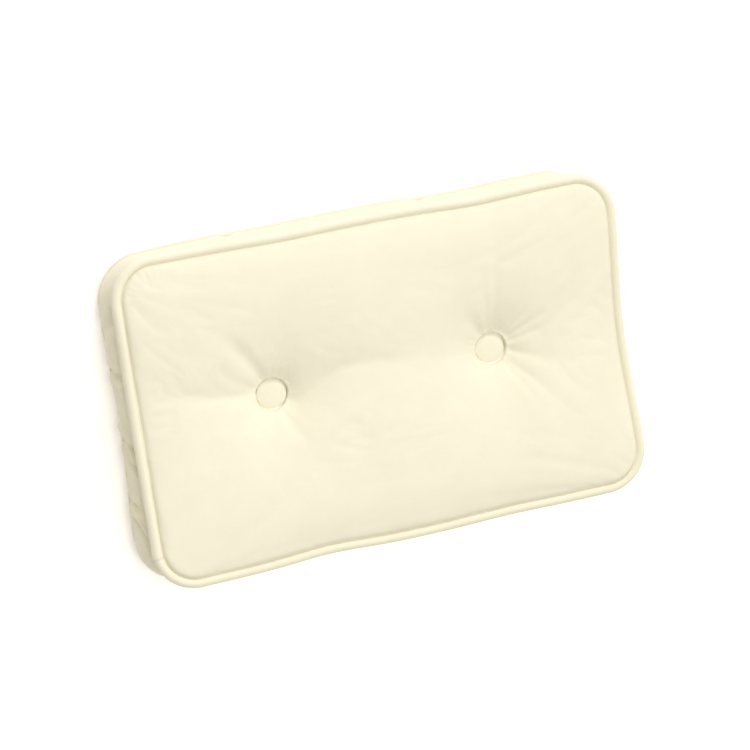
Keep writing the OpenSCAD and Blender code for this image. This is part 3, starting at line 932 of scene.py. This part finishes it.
def make_coil(node, way):
    """One half of the zip's spiral: flattened turns whose heads reach towards the other half."""
    middle_y, middle_z = middle(node, 1), middle(node, 2)
    half_y, half_z = extent(node, 1) / 2 - COIL_WIRE, extent(node, 2) / 2 - COIL_WIRE
    steps = COIL_STEPS * round(2 * COIL_HALF / COIL_PITCH)
    start = 0.5 if way > 0 else 0.0
    centres = []
    for i in range(steps + 1):
        angle = 2 * math.pi * (i / COIL_STEPS + start)
        x = (COIL_HALF - COIL_WIRE) * (2 * i / steps - 1)
        centres.append((x, middle_y + half_y * math.sin(angle), middle_z + half_z * math.cos(angle)))
    centres = np.array(centres)
    ahead = np.gradient(centres, axis=0)
    ahead /= np.linalg.norm(ahead, axis=1)[:, None]
    across = np.cross(ahead, (1.0, 0, 0))
    across /= np.linalg.norm(across, axis=1)[:, None]
    piece = add_mesh(node + "_spiral", *tube(centres, across, np.cross(across, ahead), COIL_WIRE, 5))
    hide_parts(node)
    return piece


STITCH = 3.2 * MM
STITCH_R = 0.24 * MM
STITCH_ROW = 5.2 * MM
STITCH_ENDS = ZIP_HALF - 4 * MM
# A stitch's stations: place from its middle to its end, and share of its thickness
STITCH_SHAPE = np.array(((-1, 0.35), (-0.72, 0.9), (0, 1), (0.72, 0.9), (1, 0.35)))


def make_stitches(name, tree, way):
    """A row of machine stitches along one facing, beside the zip."""
    height = MID_Z + way * (ZIP_GAP + STITCH_ROW)
    place, thick = STITCH_SHAPE.T
    outwards, upwards = np.tile((0, -1, 0), (len(place), 1)), np.tile((0, 0, 1), (len(place), 1))
    parts = []
    for i in range(round(2 * STITCH_ENDS / STITCH)):
        x = STITCH * (i + 0.5) - STITCH_ENDS
        hit = tree.ray_cast(Vector((x, -0.3, height)), Vector((0, 1, 0)))[0]
        if not hit:
            continue
        y = hit.y - 0.05 * MM + 0.9 * STITCH_R * place**4
        centres = np.column_stack([x + place * STITCH * 0.42, y, np.full(len(place), height)])
        parts.append(tube(centres, outwards, upwards, STITCH_R * thick, 6))
    piece = add_mesh(name, *joined(parts))
    return piece


# ---- Materials ----
def new_material(name, color, roughness, values=()):
    """A material, its node tree and its shader, with the plain values set on the shader itself."""
    made = bpy.data.materials.new(name)
    made.use_nodes = True
    shader = made.node_tree.nodes["Principled BSDF"]
    shader.inputs["Base Color"].default_value = (*color, 1)
    shader.inputs["Roughness"].default_value = roughness
    for key, value in dict(values).items():
        shader.inputs[key].default_value = value
    return made, made.node_tree, shader


def add_node(tree, kind, values=(), **settings):
    node = tree.nodes.new(kind)
    for key, value in settings.items():
        setattr(node, key, value)
    for key, value in dict(values).items():
        node.inputs[key].default_value = value
    return node


def noise_node(tree, vector, scale, detail=3.0, roughness=0.5):
    node = add_node(tree, "ShaderNodeTexNoise", {"Scale": scale, "Detail": detail, "Roughness": roughness})
    tree.links.new(vector, node.inputs["Vector"])
    return node.outputs["Fac"]


def bands(tree, vector, scale, distortion, detail):
    values = {"Scale": scale, "Distortion": distortion, "Detail": detail}
    node = add_node(tree, "ShaderNodeTexWave", values, bands_direction="DIAGONAL")
    tree.links.new(vector, node.inputs["Vector"])
    return node.outputs["Fac"]


def math_node(tree, operation, *values):
    node = add_node(tree, "ShaderNodeMath", operation=operation)
    for socket, value in zip(node.inputs, values):
        if isinstance(value, (int, float)):
            socket.default_value = value
        else:
            tree.links.new(value, socket)
    return node.outputs[0]


def tinted(tree, shader, amount, dark, light):
    """Colours the shader between two tones by an amount from 0 to 1."""
    ramp = add_node(tree, "ShaderNodeValToRGB")
    ramp.color_ramp.elements[0].position = 0.25
    ramp.color_ramp.elements[1].position = 0.75
    ramp.color_ramp.elements[0].color = (*dark, 1)
    ramp.color_ramp.elements[1].color = (*light, 1)
    tree.links.new(amount, ramp.inputs["Fac"])
    tree.links.new(ramp.outputs["Color"], shader.inputs["Base Color"])


def spread(tree, shader, amount, low, high):
    """Varies the roughness between two values by an amount from 0 to 1."""
    node = add_node(tree, "ShaderNodeMapRange", {"To Min": low, "To Max": high})
    tree.links.new(amount, node.inputs["Value"])
    tree.links.new(node.outputs["Result"], shader.inputs["Roughness"])


def bumped(tree, shader, height, strength, distance):
    bump = add_node(tree, "ShaderNodeBump", {"Strength": strength, "Distance": distance})
    tree.links.new(height, bump.inputs["Height"])
    tree.links.new(bump.outputs["Normal"], shader.inputs["Normal"])


def object_point(tree):
    return add_node(tree, "ShaderNodeTexCoord").outputs["Object"]


def cloth_point(tree, turn):
    """Where a point lies on the cut cloth, in metres, turned for cloth cut on the bias."""
    mapping = add_node(tree, "ShaderNodeMapping", {"Rotation": (0, 0, turn)})
    source = add_node(tree, "ShaderNodeUVMap", uv_map="cloth")
    tree.links.new(source.outputs["UV"], mapping.inputs["Vector"])
    return mapping.outputs["Vector"]


def weave(tree, vector, thread):
    """A plain weave: threads go over and under each other, with slubs along both ways."""
    parts = add_node(tree, "ShaderNodeSeparateXYZ")
    tree.links.new(vector, parts.inputs["Vector"])
    waves = []
    for axis in ("X", "Y"):
        turns = math_node(tree, "MULTIPLY", parts.outputs[axis], math.pi / thread)
        waves.append(math_node(tree, "SINE", turns))
    crossing = math_node(tree, "MULTIPLY", waves[0], waves[1])
    slubs = []
    for long_x, long_y in ((60, 2600), (2600, 60)):
        stretch = add_node(tree, "ShaderNodeMapping", {"Scale": (long_x, long_y, 1)})
        tree.links.new(vector, stretch.inputs["Vector"])
        slubs.append(noise_node(tree, stretch.outputs["Vector"], 1.0, 2.0))
    height = math_node(tree, "MULTIPLY_ADD", crossing, 0.25, 0.5)
    return math_node(tree, "ADD", height, math_node(tree, "ADD", slubs[0], slubs[1]))


THREAD = 0.55 * MM
COVER_DARK = (0.79, 0.75, 0.585)
COVER_LIGHT = (0.83, 0.795, 0.63)


def cover_material(name, turn=0.0):
    """Undyed cotton: plain weave, faint slubs and blotches, a soft nap."""
    nap = {"Specular IOR Level": 0.22, "Sheen Weight": 0.12, "Sheen Roughness": 0.45}
    made, tree, shader = new_material(name, COVER_LIGHT, 0.9, nap)
    threads = weave(tree, cloth_point(tree, turn), THREAD)
    place = object_point(tree)
    blotches = noise_node(tree, place, 34, 5.0, 0.6)
    fibres = noise_node(tree, place, 1500, 2.0, 0.6)
    patchy = math_node(tree, "MULTIPLY_ADD", blotches, 0.7, math_node(tree, "MULTIPLY", fibres, 0.3))
    mix = math_node(tree, "MULTIPLY_ADD", math_node(tree, "SUBTRACT", threads, 1.5), 0.35, patchy)
    tinted(tree, shader, mix, COVER_DARK, COVER_LIGHT)
    spread(tree, shader, fibres, 0.84, 0.96)
    bumped(tree, shader, math_node(tree, "ADD", threads, fibres), 0.35, 0.07 * MM)
    return made


def fibre_material(name, dark, light, scale, distance):
    """Loose fibres: a fine tangle over soft lumps."""
    made, tree, shader = new_material(name, light, 0.95, {"Specular IOR Level": 0.15, "Sheen Weight": 0.2})
    place = object_point(tree)
    tangle = noise_node(tree, place, scale, 6.0, 0.7)
    lumps = noise_node(tree, place, scale / 18, 2.0)
    tinted(tree, shader, math_node(tree, "MULTIPLY_ADD", tangle, 0.6, 0.5), dark, light)
    spread(tree, shader, tangle, 0.88, 1.0)
    bumped(tree, shader, math_node(tree, "ADD", tangle, lumps), 0.6, distance)
    return made


def foam_material():
    """Open-cell foam: small pits over a patchy tone."""
    made, tree, shader = new_material("foam", (0.86, 0.77, 0.42), 0.95)
    place = object_point(tree)
    cells = add_node(tree, "ShaderNodeTexVoronoi", {"Scale": 900.0}, feature="F1")
    tree.links.new(place, cells.inputs["Vector"])
    ageing = noise_node(tree, place, 25, 3.0)
    tinted(tree, shader, ageing, (0.82, 0.72, 0.36), (0.9, 0.82, 0.5))
    spread(tree, shader, cells.outputs["Distance"], 0.85, 1.0)
    bumped(tree, shader, cells.outputs["Distance"], 0.7, 0.4 * MM)
    return made


def tape_material():
    """Zip tape: a fine twill."""
    made, tree, shader = new_material("zip_tape", (0.8, 0.74, 0.57), 0.85, {"Sheen Weight": 0.1})
    place = object_point(tree)
    twill = bands(tree, place, 620.0, 0.6, 1.0)
    tinted(tree, shader, twill, (0.7, 0.64, 0.48), (0.82, 0.76, 0.6))
    spread(tree, shader, noise_node(tree, place, 900, 2.0), 0.78, 0.92)
    bumped(tree, shader, twill, 0.5, 0.12 * MM)
    return made


def coil_material():
    """Nylon coil: smooth, slightly waxy, with tiny tool marks."""
    made, tree, shader = new_material("zip_coil", (0.8, 0.75, 0.6), 0.4, {"Specular IOR Level": 0.5})
    place = object_point(tree)
    marks = noise_node(tree, place, 2200, 2.0)
    tinted(tree, shader, noise_node(tree, place, 60, 3.0), (0.76, 0.7, 0.55), (0.84, 0.79, 0.64))
    spread(tree, shader, marks, 0.32, 0.5)
    bumped(tree, shader, marks, 0.15, 0.03 * MM)
    return made


def metal_material(name, dark, light, rough, scratch_scale):
    """Plated metal: rubbed patches and fine scratches."""
    made, tree, shader = new_material(name, light, rough, {"Metallic": 1.0})
    place = object_point(tree)
    scales = (scratch_scale, 18 * scratch_scale, 6 * scratch_scale)
    stretch = add_node(tree, "ShaderNodeMapping", {"Scale": scales})
    tree.links.new(place, stretch.inputs["Vector"])
    scratches = noise_node(tree, stretch.outputs["Vector"], 1.0, 4.0, 0.7)
    rubbed = noise_node(tree, place, 260, 4.0, 0.6)
    tinted(tree, shader, rubbed, dark, light)
    spread(tree, shader, math_node(tree, "MULTIPLY", scratches, rubbed), rough - 0.08, rough + 0.3)
    bumped(tree, shader, scratches, 0.2, 0.02 * MM)
    return made


def rope_material(name, dark, light, scale):
    """Twisted yarn: bands along the lay."""
    made, tree, shader = new_material(name, light, 0.85, {"Sheen Weight": 0.15})
    place = object_point(tree)
    lay = bands(tree, place, scale, 2.0, 2.0)
    tinted(tree, shader, lay, dark, light)
    spread(tree, shader, noise_node(tree, place, 800, 2.0), 0.75, 0.95)
    bumped(tree, shader, lay, 0.5, 0.1 * MM)
    return made


def floor_material():
    glow = {"Specular IOR Level": 0.1, "Emission Color": (1, 0.96, 0.9, 1), "Emission Strength": 0.3}
    made, tree, shader = new_material("floor", (0.9, 0.9, 0.9), 0.7, glow)
    spread(tree, shader, noise_node(tree, object_point(tree), 3, 2.0), 0.66, 0.76)
    return made


def wear(piece, made):
    piece.data.materials.clear()
    piece.data.materials.append(made)


# ---- Studio ----
FLOOR_REACH = 8.0
LIGHT_TARGET = Vector((0, 0, 0.05))


def make_light(name, location, size, energy):
    data = bpy.data.lights.new(name, "AREA")
    data.shape = "DISK"
    data.size = size
    data.energy = energy
    light = add_object(name, data)
    light.location = location
    light.rotation_euler = (LIGHT_TARGET - light.location).to_track_quat("-Z", "Y").to_euler()


# The white tent round the pad is brightest one way and dimmest and warmest away from it, and a dark
# card stands on its left side
BRIGHT_WAY = (-0.02, 0.21, 0.98)
SKY_LOW = (0.13, 0.085, 0.04, 1)
SKY_HIGH = (1.2, 1.2, 1.2, 1)
DARK_WAY = (-0.84, -0.1, 0.53)


def facing(tree, way, values):
    """How far each direction faces one way, brought to a range."""
    dot = add_node(tree, "ShaderNodeVectorMath", {1: way}, operation="DOT_PRODUCT")
    tree.links.new(add_node(tree, "ShaderNodeTexCoord").outputs["Generated"], dot.inputs[0])
    ranged = add_node(tree, "ShaderNodeMapRange", values)
    tree.links.new(dot.outputs["Value"], ranged.inputs["Value"])
    return ranged.outputs["Result"]


def make_floor():
    corners = [(x * FLOOR_REACH, y * FLOOR_REACH, 0) for x, y in ((-1, -1), (1, -1), (1, 1), (-1, 1))]
    floor = add_object("floor", plain_mesh("floor", corners, [(0, 1, 2, 3)]))
    wear(floor, floor_material())


def make_studio():
    make_floor()
    world = bpy.data.worlds.new("studio")
    world.use_nodes = True
    bpy.context.scene.world = world
    tree = world.node_tree
    share = facing(tree, BRIGHT_WAY, {"From Min": -0.6})
    card = facing(tree, DARK_WAY, {"From Min": 0.4, "From Max": 0.85, "To Min": 1.0, "To Max": 0.1})
    tint = add_node(tree, "ShaderNodeMix", {6: SKY_LOW, 7: SKY_HIGH}, data_type="RGBA")
    tree.links.new(math_node(tree, "MULTIPLY", share, card), tint.inputs[0])
    tree.links.new(tint.outputs[2], tree.nodes["Background"].inputs["Color"])
    make_light("key", (0.5, 3.2, 2.0), 0.9, 39)
    make_light("top", (-0.3, 0.25, 3.0), 0.9, 28)


# Where the camera looks, how far off it is, and its turns in degrees: round the pad, down towards its
# face, and round the line of sight
LOOK_AT = Vector((-0.01183, 0.00543, FACE_Z))
LOOK_DISTANCE = 2.39906
LOOK_TURNS = (-125.1215, 20.8121, 115.0366)


def make_camera():
    data = bpy.data.cameras.new("camera")
    data.sensor_width = 36
    data.lens = 126.4
    data.clip_end = 20
    camera = add_object("camera", data)
    around, down, roll = (math.radians(angle) for angle in LOOK_TURNS)
    turn = Matrix.Rotation(around, 4, "Z") @ Matrix.Rotation(down, 4, "X") @ Matrix.Rotation(roll, 4, "Z")
    camera.matrix_world = Matrix.Translation(LOOK_AT) @ turn @ Matrix.Translation((0, 0, LOOK_DISTANCE))
    bpy.context.scene.camera = camera


# ---- Everything together ----
make_camera()
make_studio()
face_cloth, face_points, face_faces = make_panel("face_cloth", True, 2.8 * MM)
back_cloth, back_points, back_faces = make_panel("back_cloth", False, 6 * MM)
boxing_cuts, boxing_points, boxing_faces = make_boxing(2.4 * MM)
boxing = finish_boxing(boxing_cuts)
welts = make_welts()
filling = make_filling(BVHTree.FromPolygons(face_points.tolist(), face_faces),
                       BVHTree.FromPolygons(back_points.tolist(), back_faces))
buttons = make_buttons()
twines = [make_twine(side) for side in (-1, 1)]
boxing_tree = BVHTree.FromPolygons(boxing_points.tolist(), boxing_faces)
tapes, coils, stitches = [], [], []
for half, way in (("upper", 1), ("lower", -1)):
    tapes.append(make_tape("zip_tape_" + half))
    coils.append(make_coil("zip_coil_" + half, way))
    stitches.append(make_stitches("zip_stitches_" + half, boxing_tree, way))
metal = {"zip": [], "button": []}
for name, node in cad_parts.items():
    if name in ("zip_slider", "zip_pull", "zip_top_stops", "zip_bottom_stop"):
        metal["zip"].append(node)
    elif name.endswith(("_shell", "_back", "_shank")):
        metal["button"].append(node)

outfits = (
    ([face_cloth, back_cloth, *boxing, *buttons], cover_material("cover_cotton")),
    (welts[::2], cover_material("cover_cotton_bias", turn=math.pi / 4)),
    (welts[1::2], rope_material("piping_cotton", (0.74, 0.7, 0.6), (0.86, 0.83, 0.75), 300.0)),
    (filling[:2], fibre_material("wadding", (0.8, 0.8, 0.79), (0.92, 0.92, 0.91), 420, 0.6 * MM)),
    (filling[2:], foam_material()),
    (twines, rope_material("waxed_twine", (0.55, 0.47, 0.32), (0.7, 0.62, 0.46), 900.0)),
    (tapes, tape_material()),
    (coils, coil_material()),
    (stitches, rope_material("stitching_thread", (0.72, 0.66, 0.5), (0.86, 0.8, 0.63), 1400.0)),
    (metal["zip"], metal_material("zip_metal", (0.5, 0.48, 0.44), (0.66, 0.65, 0.62), 0.3, 240)),
    (metal["button"], metal_material("button_metal", (0.5, 0.5, 0.51), (0.68, 0.68, 0.7), 0.26, 200)),
)
for pieces, made in outfits:
    for piece in pieces:
        wear(piece, made)

bpy.context.scene.view_settings.view_transform = "Standard"
